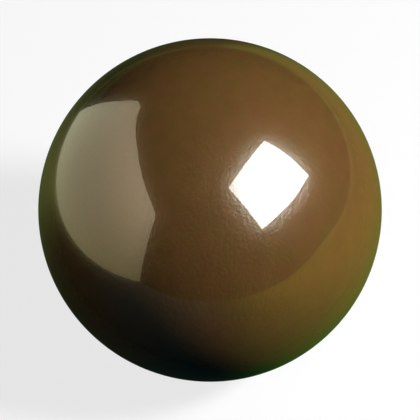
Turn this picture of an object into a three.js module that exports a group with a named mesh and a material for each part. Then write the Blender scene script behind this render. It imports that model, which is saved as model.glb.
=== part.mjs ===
// A snooker ball, the brown one. It is one solid ball of cast phenolic resin, coloured right through, ground
// round and polished: nothing is inside it, nothing is joined to it, and it has no mark on it.
// Millimetres, +Z up, with the origin at the ball's centre. It rests on its lowest point.

import * as THREE from 'three';
import * as BufferGeometryUtils from 'three/addons/utils/BufferGeometryUtils.js';

// The ball's diameter, as the rules of the game give it.
const DIAMETER = 52.5;

// How far the middle of a flat facet may lie under the true sphere.
const FACET_SAG = 0.03;

// Brown resin with a polished skin.
const RESIN_COLOUR = 0x6f4d20;
const RESIN_ROUGHNESS = 0.08;

// The facets are the twenty faces of an icosahedron, each cut into small triangles whose corners are then moved
// out to the sphere. The largest facets are in the middle of a face, so they say how many steps an edge needs.
// The number is even, so that a corner lies on each of X, Y and Z and the ball measures its diameter across all
// three.
function stepsAlongEdge(radius, sag) {
  const edge = 1 / Math.sin(2 * Math.PI / 5);
  const faceFromCentre = Math.sqrt(1 - edge ** 2 / 3);
  const facetReach = edge / faceFromCentre / Math.sqrt(3);
  const steps = facetReach * Math.sqrt(radius / (2 * sag));
  return 2 * Math.ceil(steps / 2);
}

// A closed ball of small triangles with its shared corners merged.
function ballGeometry(radius, sag) {
  const detail = stepsAlongEdge(radius, sag) - 1;
  const facets = new THREE.IcosahedronGeometry(radius, detail);
  facets.deleteAttribute('normal');
  facets.deleteAttribute('uv');
  const geometry = BufferGeometryUtils.mergeVertices(facets);
  geometry.computeVertexNormals();
  return geometry;
}

function makeBall() {
  const resin = new THREE.MeshStandardMaterial({
    color: RESIN_COLOUR,
    roughness: RESIN_ROUGHNESS,
    metalness: 0,
  });
  const ball = new THREE.Mesh(ballGeometry(DIAMETER / 2, FACET_SAG), resin);
  ball.name = 'ball';
  return ball;
}

const snookerBall = new THREE.Group();
snookerBall.add(makeBall());

export default snookerBall;
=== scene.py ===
import math

import bpy
from mathutils import Matrix, Vector


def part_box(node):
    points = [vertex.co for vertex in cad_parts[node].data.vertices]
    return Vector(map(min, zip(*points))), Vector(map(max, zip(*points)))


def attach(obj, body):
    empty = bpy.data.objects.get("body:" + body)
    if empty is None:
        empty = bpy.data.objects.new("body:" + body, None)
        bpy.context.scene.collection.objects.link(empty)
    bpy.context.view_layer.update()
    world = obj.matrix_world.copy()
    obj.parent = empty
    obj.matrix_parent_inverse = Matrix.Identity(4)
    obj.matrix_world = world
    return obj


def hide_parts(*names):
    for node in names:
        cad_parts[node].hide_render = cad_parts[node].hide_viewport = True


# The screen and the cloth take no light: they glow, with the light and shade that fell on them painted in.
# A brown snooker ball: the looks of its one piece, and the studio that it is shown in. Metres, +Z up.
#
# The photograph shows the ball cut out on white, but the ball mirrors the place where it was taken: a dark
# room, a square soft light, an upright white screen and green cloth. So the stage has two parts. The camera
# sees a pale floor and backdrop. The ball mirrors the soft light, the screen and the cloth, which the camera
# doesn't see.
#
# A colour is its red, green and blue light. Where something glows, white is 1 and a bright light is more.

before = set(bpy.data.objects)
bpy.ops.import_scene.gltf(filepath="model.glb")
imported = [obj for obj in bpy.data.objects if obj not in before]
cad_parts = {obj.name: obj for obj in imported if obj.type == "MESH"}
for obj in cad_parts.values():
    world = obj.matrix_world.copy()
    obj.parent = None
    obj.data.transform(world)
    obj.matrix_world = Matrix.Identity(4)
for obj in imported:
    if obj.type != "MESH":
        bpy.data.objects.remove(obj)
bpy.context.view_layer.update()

MM_IN_METRE = 1000.0

# The ball, from the frame.
ball_low, ball_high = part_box("ball")
CENTRE = (ball_low + ball_high) / 2
RADIUS = (ball_high.z - ball_low.z) / 2
FLOOR_Z = ball_low.z

# The camera looks at the ball's centre from this high above the horizon and this far away. How wide the ball
# is in the picture gives the lens.
CAMERA_ELEVATION = math.radians(46.5)
CAMERA_DISTANCE = 0.242
CAMERA_SEES_FROM = 0.01
CAMERA_SEES_TO = 20.0
SENSOR_WIDTH = 36.0
FRAME_WIDTH_PX = 420
BALL_WIDTH_PX = 343.7

# A noise is written as the size of its lumps in millimetres, how much finer detail it has, and a seed that
# moves it to another stretch. Its values lie round 0.5, and nearly all of them are in this range.
NOISE_MIDDLE = 0.5
NOISE_RANGE = (0.3, 0.7)

# The resin drifts between an olive brown and a redder one. Two noises added up say where it is which: it is
# all olive up to the first sum, and all red from the second.
OLIVE_BROWN = (0.153, 0.0845, 0.0205)
RED_BROWN = (0.171, 0.0770, 0.0245)
BLOTCHES = (7.0, 2.0, 1.0)
SPOTS = (1.9, 1.0, 4.0)
DRIFT_SUMS = (0.72, 1.28)

# Soft clouds of shade and the fine grain of the filler darken and lighten it by these shares.
CLOUDS = (2.4, 3.0, 2.0)
CLOUD_DEPTH = 0.065
GRAIN = (0.22, 2.0, 3.0)
GRAIN_DEPTH = 0.045

# Its polish: a clear mirror gloss, over a skin with a softer and broader gloss.
RESIN_IOR = 1.5
GLOSS_ROUGHNESS = 0.015
SKIN_GLOSS = 0.32
SKIN_ROUGHNESS = 0.19

# The polishing left the skin full of hair-fine streaks. A hair lies wherever a noise, drawn out along the
# hairs, crosses its middle value. Its width is how far from there, in the noise's own values, it reaches.
# Directions take turns with two spacings, and closer hairs are shallower.
HAIR_LENGTH_MM = 1.9
HAIR_SPACINGS_MM = (0.9, 0.5)
HAIR_DETAIL = 1.0
HAIR_SEED = 10.0
HAIR_WIDTH = 0.11
HAIR_DEPTH_MM = 0.0060
HAIR_ROUGHNESS = 0.25

# Hairs come in patches, which go from bare to full between these values of their noise.
HAIR_PATCH_MM = 1.6
HAIR_PATCH_DETAIL = 2.0
HAIR_PATCH_SEED = 50.0
HAIR_PATCH_RANGE = (0.22, 0.50)

# The hairs run along these directions, the six axes of an icosahedron, so that they cross everywhere. Going
# out along its direction, a set of hairs is full up to the first share of the radius and gone at the second.
GOLDEN = (1 + math.sqrt(5)) / 2
HAIR_AXES = [
    (0.0, 1.0, GOLDEN),
    (0.0, -1.0, GOLDEN),
    (1.0, GOLDEN, 0.0),
    (-1.0, GOLDEN, 0.0),
    (GOLDEN, 0.0, 1.0),
    (GOLDEN, 0.0, -1.0),
]
HAIR_FULL_TO = 0.35
HAIR_GONE_FROM = 0.95

# The ball's mesh is a cube's six faces, with this many squares along an edge, pushed out to the sphere. In
# its map each face has a cell, with this share of the cell left empty along every side.
BALL_SQUARES = 64
MAP_MARGIN = 0.004

# The square soft light, high on the right: where its middle is, how far away, which way it is turned from +X
# round Z, how far it is tipped down, and its two sides.
KEY_DIRECTION = Vector((0.5862, -0.3004, 0.752)).normalized()
KEY_DISTANCE = 0.45
KEY_TURN = math.radians(152.0)
KEY_TIP = math.radians(32.7)
KEY_HEIGHT = 0.292
KEY_WIDTH = 0.363

# Its outline is a little out of square. Each corner is a share of half its width, towards the camera, and a
# share of half its height, downwards.
KEY_OUTLINE = [
    (-0.985, -0.98),
    (-0.20, -1.03),
    (0.50, -1.025),
    (1.03, -1.01),
    (0.99, 1.01),
    (-0.30, 0.99),
    (-0.75, 0.96),
    (-1.02, 0.955),
    (-1.0, 0.70),
    (-1.005, -0.50),
]

# Its glow and its colour, the shares by which the glow grows towards the foot, drops towards both sides and
# drops towards the near side, and the colour that it takes on in the corners.
KEY_GLOW = 23.6
KEY_COLOUR = (0.90, 1.03, 1.07)
KEY_FOOT_BRIGHTER = 0.15
KEY_SIDES_DIMMER = 0.2
KEY_NEAR_DIMMER = 0.08
KEY_CORNER_COLOUR = (1.08, 1.05, 0.88)

# The lamp that lights the ball from that side is smaller than the glowing square that the ball mirrors, and a
# little beside it, which fits the photograph's shading. A lamp's level is how bright it makes a white face at
# the ball that is turned to it.
LAMP_DIRECTION = Vector((0.718, -0.176, 0.669)).normalized()
LAMP_SHARE = 0.3
LAMP_LEVEL = 1.115

# A weak lamp on the left, for the light that the screen there sends back.
FILL_DIRECTION = Vector((-1.0, 0.0, 0.0))
FILL_DISTANCE = 0.6
FILL_SIZE = 0.3
FILL_LEVEL = 0.13

# The upright screen on the left of the ball: how far off, how it is turned round the ball, and its outline
# from the near foot round, as places along it and heights over the ball's centre.
SCREEN_OFF = 0.122
SCREEN_TURN = math.radians(-4.0)
SCREEN_OUTLINE = [
    (-0.173, FLOOR_Z),
    (-0.172, 0.050),
    (-0.168, 0.090),
    (-0.164, 0.115),
    (-0.163, 0.130),
    (-0.153, 0.139),
    (-0.127, 0.142),
    (0.000, 0.139),
    (0.035, 0.134),
    (0.070, 0.132),
    (0.099, 0.135),
    (0.114, 0.121),
    (0.111, 0.075),
    (0.113, 0.050),
    (0.121, 0.012),
    (0.134, FLOOR_Z),
]

# The screen takes no light: its glow is painted light, at its top, at its foot, and at its foot's far end.
# Between foot and top it changes along a power curve.
SCREEN_TOP = 0.147
SCREEN_TOP_GLOW = (3.51, 3.07, 2.12)
SCREEN_FOOT_GLOW = (1.31, 1.13, 0.54)
SCREEN_FAR_FOOT_GLOW = (1.50, 1.53, 1.00)
SCREEN_RISE_CURVE = 1.2

# The whole glow also goes from one share to another between the middle and the far end. It is dimmer at the
# near end, and full from the last of these places on.
SCREEN_MIDDLE_Y = -0.06
SCREEN_MIDDLE_SHARE = 1.03
SCREEN_FAR_Y = 0.115
SCREEN_FAR_SHARE = 0.70
SCREEN_NEAR_Y = -0.175
SCREEN_NEAR_SHARE = 0.85
SCREEN_FULL_Y = -0.12

# The cloth round the ball, which shows only in the ball. Its y grows from the front to the back.
# It takes no light: its colours are painted light and painted shade.
CLOTH_LEFT_X = -0.5
CLOTH_RIGHT_X = 0.45
CLOTH_FRONT_Y = -0.155
CLOTH_BACK_Y = 0.8
CLOTH_BELOW_FLOOR = 0.0002

# Its painted glow away from the lights: a near-black painted shade in front of the ball, a dim glow behind
# the ball, and what is added far behind. The two y after a glow are where it starts and where it is full.
CLOTH_SHADE_IN_FRONT = (0.0, 0.003, 0.005)
CLOTH_BEHIND = (0.020, 0.030, 0.010)
CLOTH_BEHIND_Y = (-0.03, 0.03)
CLOTH_FAR = (0.050, 0.060, 0.010)
CLOTH_FAR_Y = (0.25, 0.80)

# Left of the soft light's reach, which starts between these two x, the front glows a little in steps that add
# up: between which y each one rises, and its colour.
CLOTH_UNLIT_X = (-0.01, 0.03)
CLOTH_UNLIT = [
    (-0.015, -0.05, (0.0, 0.018, 0.018)),
    (-0.03, -0.15, (0.05, 0.08, 0.10)),
]

# Where the soft light falls on the cloth, in glows that add up: between which x each one rises, between which
# y it fades, and its colour.
CLOTH_LIT = [
    (0.005, 0.045, 0.40, 0.80, (0.090, 0.121, 0.015)),
    (0.00, 0.02, -0.01, 0.03, (0.0, 0.047, 0.0)),
    (0.02, 0.10, -0.10, 0.00, (0.198, 0.198, 0.0)),
    (0.02, 0.10, 0.00, 0.06, (0.146, 0.094, 0.0)),
    (0.02, 0.10, 0.05, 0.40, (0.166, 0.031, 0.010)),
    (0.20, 0.40, 0.25, 0.80, (0.094, 0.177, 0.062)),
]

# The screen lights the cloth in a narrow strip along its foot and, by its far half, in a wide one. Both are
# brightest at the foot, with this share of the colour, and these are their widths.
CLOTH_BY_SCREEN = (0.415, 0.51, 0.12)
STRIP_SHARE = 0.5
NARROW_STRIP = 0.014
WIDE_STRIP = 0.11

# Along y the wide strip rises, drops to a weaker share, and ends.
WIDE_STRIP_RISE_Y = (-0.006, 0.050)
WIDE_STRIP_DROP_Y = (0.03, 0.10)
WIDE_STRIP_END_Y = (0.10, 0.15)
WIDE_STRIP_WEAKER = 0.2

# The pale floor and the round wall on it: how far the floor reaches, their own glow, the floor's colour under
# the lamps, how far out the wall stands, as a share of the floor's reach, and how many flat sides it has.
FLOOR_HALF = 3.0
FLOOR_GLOW = 0.78
FLOOR_COLOUR = 0.27
WALL_SHARE = 0.98
WALL_SIDES = 48

# The dim bluish light of the room.
ROOM_COLOUR = (0.5, 0.7, 1.0)
ROOM_GLOW = 0.004


def add_object(name, data):
    thing = bpy.data.objects.new(name, data)
    bpy.context.scene.collection.objects.link(thing)
    return thing


class Nodes:
    """A new material's nodes, added and linked so that each line reads as one step."""

    def __init__(self, name):
        self.material = bpy.data.materials.new(name)
        self.material.use_nodes = True
        self.tree = self.material.node_tree
        self.tree.nodes.clear()
        self.out = self.add("ShaderNodeOutputMaterial")

    def add(self, kind, **settings):
        node = self.tree.nodes.new(kind)
        for name, value in settings.items():
            setattr(node, name, value)
        return node

    def feed(self, socket, value):
        """Links a socket to another node's output, or sets it to a number, a place or a colour."""
        if isinstance(value, bpy.types.NodeSocket):
            self.tree.links.new(value, socket)
        elif isinstance(value, tuple) and len(value) == 3 and socket.type == "RGBA":
            socket.default_value = (*value, 1.0)
        else:
            socket.default_value = value

    def surface(self, shader):
        self.tree.links.new(shader.outputs[0], self.out.inputs["Surface"])

    def math(self, operation, a, b=0.0):
        node = self.add("ShaderNodeMath", operation=operation)
        self.feed(node.inputs[0], a)
        self.feed(node.inputs[1], b)
        return node.outputs[0]

    def product(self, *factors):
        value = factors[0]
        for factor in factors[1:]:
            value = self.math("MULTIPLY", value, factor)
        return value

    def mix(self, share, a, b):
        """Colour a where the share is 0, and b where it is 1."""
        node = self.add("ShaderNodeMix", data_type="RGBA")
        self.feed(node.inputs[0], share)
        self.feed(node.inputs[6], a)
        self.feed(node.inputs[7], b)
        return node.outputs[2]

    def vector(self, operation, a, b):
        node = self.add("ShaderNodeVectorMath", operation=operation)
        self.feed(node.inputs[0], a)
        self.feed(node.inputs[1], b)
        return node.outputs["Value" if operation == "DOT_PRODUCT" else "Vector"]

    def scaled(self, vector, factor):
        """A place or colour times a factor."""
        node = self.add("ShaderNodeVectorMath", operation="SCALE")
        self.feed(node.inputs[0], vector)
        self.feed(node.inputs["Scale"], factor)
        return node.outputs[0]

    def plus(self, total, colour, share):
        """The total with a share of this colour added."""
        return self.vector("ADD", total, self.scaled(colour, share))

    def spread(self, value, low, high, to_low=0.0, to_high=1.0, smooth=False):
        """Goes from to_low to to_high as the value goes from low to high, and stays there beyond them."""
        kind = "SMOOTHSTEP" if smooth else "LINEAR"
        node = self.add("ShaderNodeMapRange", clamp=True, interpolation_type=kind)
        self.feed(node.inputs["Value"], value)
        self.feed(node.inputs["From Min"], low)
        self.feed(node.inputs["From Max"], high)
        self.feed(node.inputs["To Min"], to_low)
        self.feed(node.inputs["To Max"], to_high)
        return node.outputs["Result"]

    def object_place(self):
        """Places on the piece, in metres from the object's origin."""
        return self.add("ShaderNodeTexCoord").outputs["Object"]

    def split(self, place):
        """A place's x, y and z."""
        node = self.add("ShaderNodeSeparateXYZ")
        self.feed(node.inputs[0], place)
        return node.outputs["X"], node.outputs["Y"], node.outputs["Z"]

    def noise(self, place, size, detail, seed):
        """Noise from 0 to 1 with lumps of about this size."""
        node = self.add("ShaderNodeTexNoise", noise_dimensions="4D")
        self.feed(node.inputs["Vector"], place)
        self.feed(node.inputs["W"], seed)
        self.feed(node.inputs["Scale"], 1.0 / size)
        self.feed(node.inputs["Detail"], detail)
        return node.outputs["Fac"]


def ball_mesh(squares):
    """The sphere, with a map for the export that gives each of the cube's six faces a cell of its own."""
    # Places along the cube's edge, from -1 to 1, that lie at even angles as seen from its middle.
    places = [math.tan((i / squares - 0.5) * math.pi / 2) for i in range(squares + 1)]
    index_of = {}
    points = []
    faces = []
    spots = []

    def corner(key):
        """The index of the point at this corner of the cube's grid."""
        if key not in index_of:
            index_of[key] = len(points)
            direction = Vector([places[k] for k in key]).normalized()
            points.append(CENTRE + RADIUS * direction)
        return index_of[key]

    def spot(axis, side, across, up):
        """Where a corner lies in the map: three cells across, for the axes, and two up, for the two sides."""
        if side == 0:
            across, up = up, across
        inner = 1 - 2 * MAP_MARGIN
        u = (axis + MAP_MARGIN + inner * across / squares) / 3
        v = ((side > 0) + MAP_MARGIN + inner * up / squares) / 2
        return u, v

    def add_square(axis, side, i, j):
        square = [(i, j), (i + 1, j), (i + 1, j + 1), (i, j + 1)]
        if side == 0:
            square.reverse()
        face = []
        for a, b in square:
            key = [0, 0, 0]
            key[axis] = side
            key[(axis + 1) % 3] = a
            key[(axis + 2) % 3] = b
            face.append(corner(tuple(key)))
            spots.append(spot(axis, side, a, b))
        faces.append(face)

    for axis in range(3):
        for side in (0, squares):
            for i in range(squares):
                for j in range(squares):
                    add_square(axis, side, i, j)
    mesh = bpy.data.meshes.new("ball_skin")
    mesh.from_pydata(points, [], faces)
    layer = mesh.uv_layers.new(name="OFBake")
    for place, (u, v) in zip(layer.data, spots):
        place.uv = (u, v)
    mesh.shade_smooth()
    return mesh


def resin_colour(n, place):
    """The pigment: drifts of hue, clouds of shade, and the grain of the filler."""
    sum_of_noises = n.math("ADD", n.noise(place, *BLOTCHES), n.noise(place, *SPOTS))
    colour = n.mix(n.spread(sum_of_noises, *DRIFT_SUMS), OLIVE_BROWN, RED_BROWN)
    cloud = n.spread(n.noise(place, *CLOUDS), *NOISE_RANGE, 1 - CLOUD_DEPTH, 1 + CLOUD_DEPTH)
    grain = n.spread(n.noise(place, *GRAIN), *NOISE_RANGE, 1 - GRAIN_DEPTH, 1 + GRAIN_DEPTH)
    return n.scaled(colour, n.product(cloud, grain))


def hairs_along(n, place, axis, spacing, index):
    """The hairs of one direction, from 0 for none to 1 in the middle of a hair."""
    along = n.vector("DOT_PRODUCT", place, axis)
    across_scale = 1 / spacing
    along_scale = 1 / HAIR_LENGTH_MM
    drawn_out = n.plus(n.scaled(place, across_scale), axis, n.product(along, along_scale - across_scale))

    # A place drawn out like this is counted in hairs, so the noise's lumps have the size 1.
    value = n.noise(drawn_out, 1.0, HAIR_DETAIL, HAIR_SEED + index)
    off_middle = n.math("ABSOLUTE", n.math("SUBTRACT", value, NOISE_MIDDLE))
    hair = n.spread(off_middle, 0.0, HAIR_WIDTH, 1.0, 0.0, smooth=True)

    radius_mm = RADIUS * MM_IN_METRE
    to_pole = n.math("ABSOLUTE", along)
    facing = n.spread(to_pole, HAIR_FULL_TO * radius_mm, HAIR_GONE_FROM * radius_mm, 1.0, 0.0)
    patches = n.noise(place, HAIR_PATCH_MM, HAIR_PATCH_DETAIL, HAIR_PATCH_SEED + index)
    return n.product(hair, facing, n.spread(patches, *HAIR_PATCH_RANGE))


def polishing_hairs(n, place):
    """All the hairs: how deep they are added up, as a share of the full depth, and the strongest one."""
    depth = 0.0
    strongest = 0.0
    for index, axis in enumerate(HAIR_AXES):
        spacing = HAIR_SPACINGS_MM[index % 2]
        hairs = hairs_along(n, place, tuple(Vector(axis).normalized()), spacing, index)
        depth = n.math("ADD", depth, n.product(hairs, spacing / HAIR_SPACINGS_MM[0]))
        strongest = n.math("MAXIMUM", strongest, hairs)
    return depth, strongest


def resin_material():
    n = Nodes("brown_resin")
    place = n.scaled(n.object_place(), MM_IN_METRE)
    depth, hairs = polishing_hairs(n, place)
    bump = n.add("ShaderNodeBump", invert=True)
    n.feed(bump.inputs["Height"], depth)
    n.feed(bump.inputs["Strength"], 1.0)
    n.feed(bump.inputs["Distance"], HAIR_DEPTH_MM / MM_IN_METRE)

    shader = n.add("ShaderNodeBsdfPrincipled")
    n.feed(shader.inputs["Base Color"], resin_colour(n, place))
    n.feed(shader.inputs["Roughness"], n.spread(hairs, 0.0, 1.0, SKIN_ROUGHNESS, HAIR_ROUGHNESS))
    n.feed(shader.inputs["Specular IOR Level"], SKIN_GLOSS)
    n.feed(shader.inputs["IOR"], RESIN_IOR)
    n.feed(shader.inputs["Coat Weight"], 1.0)
    n.feed(shader.inputs["Coat Roughness"], GLOSS_ROUGHNESS)
    n.feed(shader.inputs["Coat IOR"], RESIN_IOR)
    n.feed(shader.inputs["Normal"], bump.outputs[0])
    n.surface(shader)
    return n.material


def make_ball():
    ball = add_object("ball_skin", ball_mesh(BALL_SQUARES))
    ball.data.materials.append(resin_material())
    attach(ball, "root")
    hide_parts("ball")


def stage_piece(name, points, faces, material):
    mesh = bpy.data.meshes.new(name)
    mesh.from_pydata(points, [], faces)
    mesh.materials.append(material)
    piece = add_object(name, mesh)
    return piece


def flat_piece(name, corners, material):
    return stage_piece(name, corners, [tuple(range(len(corners)))], material)


def square_corners(low_x, high_x, low_y, high_y, z):
    return [(low_x, low_y, z), (high_x, low_y, z), (high_x, high_y, z), (low_x, high_y, z)]


def only_for_camera(piece):
    piece.visible_diffuse = False
    piece.visible_glossy = False
    piece.visible_shadow = False


def only_in_mirror(piece):
    piece.visible_camera = False
    piece.visible_diffuse = False


def glow(n, colour, strength=1.0):
    shader = n.add("ShaderNodeEmission")
    n.feed(shader.inputs["Color"], colour)
    n.feed(shader.inputs["Strength"], strength)
    return shader


def make_floor():
    n = Nodes("pale_floor")
    plain = n.add("ShaderNodeBsdfDiffuse")
    n.feed(plain.inputs["Color"], (FLOOR_COLOUR,) * 3)
    both = n.add("ShaderNodeAddShader")
    n.feed(both.inputs[0], plain.outputs[0])
    n.feed(both.inputs[1], glow(n, (1.0, 1.0, 1.0), FLOOR_GLOW).outputs[0])
    n.surface(both)
    corners = square_corners(-FLOOR_HALF, FLOOR_HALF, -FLOOR_HALF, FLOOR_HALF, FLOOR_Z)
    only_for_camera(flat_piece("floor", corners, n.material))


def make_backdrop():
    """A pale round wall that stands on the floor, seen by a low camera."""
    n = Nodes("pale_backdrop")
    n.surface(glow(n, (1.0, 1.0, 1.0), FLOOR_GLOW))
    radius = FLOOR_HALF * WALL_SHARE
    turns = [2 * math.pi * i / WALL_SIDES for i in range(WALL_SIDES)]
    points = []
    for z in (FLOOR_Z, FLOOR_Z + 2 * FLOOR_HALF):
        points += [(radius * math.cos(turn), radius * math.sin(turn), z) for turn in turns]
    faces = []
    for i in range(WALL_SIDES):
        after = (i + 1) % WALL_SIDES
        faces.append((i, after, WALL_SIDES + after, WALL_SIDES + i))
    only_for_camera(stage_piece("backdrop", points, faces, n.material))


def light_from_screen(n, x, y):
    """The share of the screen's light on the cloth: its wide strip and its narrow one."""
    off_screen = n.math("ADD", n.math("ADD", x, n.product(y, math.tan(SCREEN_TURN))), SCREEN_OFF)
    before_it = n.math("GREATER_THAN", off_screen, 0.0)
    reach = n.product(
        n.spread(y, *WIDE_STRIP_RISE_Y, smooth=True),
        n.spread(y, *WIDE_STRIP_DROP_Y, 1.0, WIDE_STRIP_WEAKER),
        n.spread(y, *WIDE_STRIP_END_Y, 1.0, 0.0),
    )
    wide = n.product(n.spread(off_screen, 0.0, WIDE_STRIP, STRIP_SHARE, 0.0), reach)
    narrow = n.spread(off_screen, 0.0, NARROW_STRIP, STRIP_SHARE, 0.0)
    return n.product(before_it, n.math("ADD", wide, narrow))


def make_cloth():
    """Painted light on green cloth: dim behind the ball, lit by the soft light on the right and the screen on
    the left.
    """
    n = Nodes("green_cloth_painted_light")
    x, y, _ = n.split(n.add("ShaderNodeNewGeometry").outputs["Position"])
    total = n.mix(n.spread(y, *CLOTH_BEHIND_Y), CLOTH_SHADE_IN_FRONT, CLOTH_BEHIND)
    total = n.plus(total, CLOTH_FAR, n.spread(y, *CLOTH_FAR_Y))
    unlit = n.spread(x, *CLOTH_UNLIT_X, 1.0, 0.0)
    for rise_from, rise_to, colour in CLOTH_UNLIT:
        total = n.plus(total, colour, n.product(unlit, n.spread(y, rise_from, rise_to)))
    for rise_from, rise_to, full_y, dark_y, colour in CLOTH_LIT:
        risen = n.spread(x, rise_from, rise_to, smooth=True)
        total = n.plus(total, colour, n.product(risen, n.spread(y, full_y, dark_y, 1.0, 0.0)))
    total = n.plus(total, CLOTH_BY_SCREEN, light_from_screen(n, x, y))
    n.surface(glow(n, total))
    z = FLOOR_Z - CLOTH_BELOW_FLOOR
    corners = square_corners(CLOTH_LEFT_X, CLOTH_RIGHT_X, CLOTH_FRONT_Y, CLOTH_BACK_Y, z)
    only_in_mirror(flat_piece("cloth", corners, n.material))


def make_screen():
    # A white screen, drawn as a glowing sheet with the light that fell on it painted in, dimmer towards its
    # foot.
    n = Nodes("screen_painted_light")
    _, y, z = n.split(n.object_place())
    to_far_end = n.spread(y, SCREEN_MIDDLE_Y, SCREEN_FAR_Y)
    foot_glow = n.mix(to_far_end, SCREEN_FOOT_GLOW, SCREEN_FAR_FOOT_GLOW)
    rise = n.math("POWER", n.spread(z, FLOOR_Z, SCREEN_TOP), SCREEN_RISE_CURVE)
    colour = n.mix(rise, foot_glow, SCREEN_TOP_GLOW)
    far_level = n.spread(y, SCREEN_MIDDLE_Y, SCREEN_FAR_Y, SCREEN_MIDDLE_SHARE, SCREEN_FAR_SHARE)
    near_level = n.spread(y, SCREEN_NEAR_Y, SCREEN_FULL_Y, SCREEN_NEAR_SHARE, 1.0)
    n.surface(glow(n, colour, n.product(far_level, near_level)))
    screen = flat_piece("screen", [(-SCREEN_OFF, along, up) for along, up in SCREEN_OUTLINE], n.material)
    screen.rotation_euler.z = SCREEN_TURN
    only_in_mirror(screen)
    screen.visible_shadow = False


def key_axes():
    """The soft light's own axes: across it towards the camera, down its face, and out of its back."""
    aim = Vector((
        math.cos(KEY_TURN) * math.cos(KEY_TIP),
        math.sin(KEY_TURN) * math.cos(KEY_TIP),
        -math.sin(KEY_TIP),
    ))
    near = Vector((-math.sin(KEY_TURN), math.cos(KEY_TURN), 0.0))
    return near, (-aim).cross(near), -aim


def make_soft_light():
    """The glowing square that the ball mirrors."""
    near, down, _ = key_axes()
    middle = CENTRE + KEY_DIRECTION * KEY_DISTANCE
    corners = []
    for across, below in KEY_OUTLINE:
        corners.append(middle + near * across * KEY_WIDTH / 2 + down * below * KEY_HEIGHT / 2)

    # Over the glowing face, a and b are such shares too: a towards the camera, and b downwards.
    n = Nodes("soft_light_glow")
    place = n.vector("SUBTRACT", n.object_place(), tuple(middle))
    a = n.vector("DOT_PRODUCT", place, tuple(near * 2 / KEY_WIDTH))
    b = n.vector("DOT_PRODUCT", place, tuple(down * 2 / KEY_HEIGHT))
    level = n.math("ADD", 1.0, n.product(b, KEY_FOOT_BRIGHTER))
    level = n.math("SUBTRACT", level, n.product(a, a, KEY_SIDES_DIMMER))
    level = n.math("SUBTRACT", level, n.product(a, KEY_NEAR_DIMMER))
    colour = n.mix(n.product(a, a, b, b), KEY_COLOUR, KEY_CORNER_COLOUR)
    n.surface(glow(n, colour, n.product(level, KEY_GLOW)))
    square = flat_piece("soft_light", corners, n.material)
    only_in_mirror(square)
    square.visible_shadow = False


def make_lamp(name, place, axes, width, height, level):
    """A soft rectangular lamp that no surface mirrors."""
    distance = (place - CENTRE).length
    data = bpy.data.lights.new(name, "AREA")
    data.shape = "RECTANGLE"
    data.size = width
    data.size_y = height

    # A lamp sends straight ahead its power over pi, and a white face sends on what reaches it, over pi again.
    data.energy = math.pi ** 2 * level * distance ** 2
    lamp = add_object(name, data)
    lamp.matrix_world = Matrix.Translation(place) @ Matrix(axes).transposed().to_4x4()
    lamp.visible_camera = False
    lamp.visible_glossy = False


def make_lamps():
    place = CENTRE + LAMP_DIRECTION * KEY_DISTANCE
    make_lamp("key", place, key_axes(), KEY_WIDTH * LAMP_SHARE, KEY_HEIGHT * LAMP_SHARE, LAMP_LEVEL)
    across = Vector((0.0, 0.0, 1.0)).cross(FILL_DIRECTION)
    axes = (across, FILL_DIRECTION.cross(across), FILL_DIRECTION)
    place = CENTRE + FILL_DIRECTION * FILL_DISTANCE
    make_lamp("fill", place, axes, FILL_SIZE, FILL_SIZE, FILL_LEVEL)


def make_world():
    world = bpy.data.worlds.new("room")
    bpy.context.scene.world = world
    world.use_nodes = True
    background = world.node_tree.nodes["Background"]
    background.inputs["Color"].default_value = (*ROOM_COLOUR, 1.0)
    background.inputs["Strength"].default_value = ROOM_GLOW


def make_camera():
    data = bpy.data.cameras.new("camera")
    data.sensor_width = SENSOR_WIDTH
    half_ball = math.asin(RADIUS / CAMERA_DISTANCE)
    data.lens = SENSOR_WIDTH / 2 * (BALL_WIDTH_PX / FRAME_WIDTH_PX) / math.tan(half_ball)
    data.clip_start = CAMERA_SEES_FROM
    data.clip_end = CAMERA_SEES_TO
    camera = add_object("camera", data)
    back = Vector((0, -math.cos(CAMERA_ELEVATION), math.sin(CAMERA_ELEVATION)))
    camera.location = CENTRE + back * CAMERA_DISTANCE
    camera.rotation_euler = (-back).to_track_quat("-Z", "Y").to_euler()
    bpy.context.scene.camera = camera


make_camera()
make_ball()
make_floor()
make_backdrop()
make_cloth()
make_screen()
make_soft_light()
make_lamps()
make_world()
bpy.context.scene.view_settings.view_transform = "Standard"
